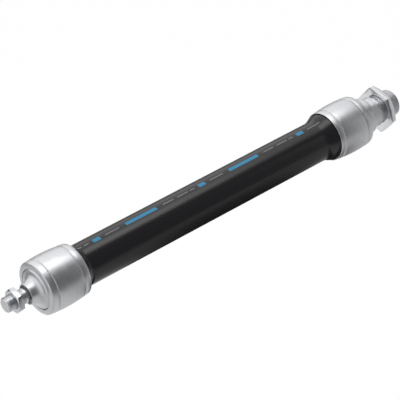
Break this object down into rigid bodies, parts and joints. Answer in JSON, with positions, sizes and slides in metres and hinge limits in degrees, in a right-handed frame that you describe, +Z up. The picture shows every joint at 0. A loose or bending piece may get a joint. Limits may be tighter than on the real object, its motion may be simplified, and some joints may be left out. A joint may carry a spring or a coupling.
{
  "type": "pneumatic muscle",
  "caption": "Straight pneumatic muscle: a black rubber hose clamped between two turned aluminium ends, with a threaded stud at one end and a hollow threaded air port at the other.",
  "frame": {"origin": "on the muscle's axis, in the plane of the outer face of the port end's lock nut, where its bracket seats", "axes": "+X along the axis, out of the air port; the stud end lies at -X; +Z is up when the muscle lies level"},
  "size_m": [0.5258, 0.059, 0.059],
  "materials": {
    "cover_rubber": "satin extruded rubber with printed marks",
    "liner_rubber": "matte rubber",
    "aramid_yarn": "parallel aramid yarn",
    "seal_rubber": "moulded rubber",
    "turned_aluminium": "turned and clear anodised",
    "zinc_plated_steel": "bright zinc plate",
    "spring_steel": "oiled spring steel"
  },
  "bodies": {
    "port_end": {"port_sleeve": "turned_aluminium", "port_lock_ring": "turned_aluminium", "port_inner_cone": "turned_aluminium", "port_disc_spring_inner": "spring_steel", "port_disc_spring_outer": "spring_steel", "port_o_ring": "seal_rubber", "port_flange": "turned_aluminium", "hose_liner": "liner_rubber", "hose_fibre_inner": "aramid_yarn", "hose_interlayer": "liner_rubber", "hose_fibre_outer": "aramid_yarn", "hose_cover": "cover_rubber"},
    "stud_end": {"stud_sleeve": "turned_aluminium", "stud_lock_ring": "turned_aluminium", "stud_inner_cone": "turned_aluminium", "stud_disc_spring_inner": "spring_steel", "stud_disc_spring_outer": "spring_steel", "stud_o_ring": "seal_rubber", "stud_flange": "turned_aluminium", "threaded_stud": "zinc_plated_steel"},
    "port_nut": {"port_nut": "zinc_plated_steel"},
    "stud_nut": {"stud_nut": "zinc_plated_steel"}
  },
  "joints": [
    {"name": "contraction", "type": "slide", "parent": "port_end", "child": "stud_end", "axis": [1, 0, 0], "range_m": [-0.017, 0.085], "stiffness_N_per_m": 2000, "deforming": ["hose_liner", "hose_fibre_inner", "hose_interlayer", "hose_fibre_outer", "hose_cover"]},
    {"name": "port_nut_turn", "type": "hinge", "parent": "port_end", "child": "port_nut", "pos_m": [-0.004, 0, 0], "axis": [1, 0, 0], "continuous": true},
    {"name": "stud_nut_turn", "type": "hinge", "parent": "stud_end", "child": "stud_nut", "pos_m": [-0.49805, 0, 0], "axis": [1, 0, 0], "continuous": true}
  ]
}
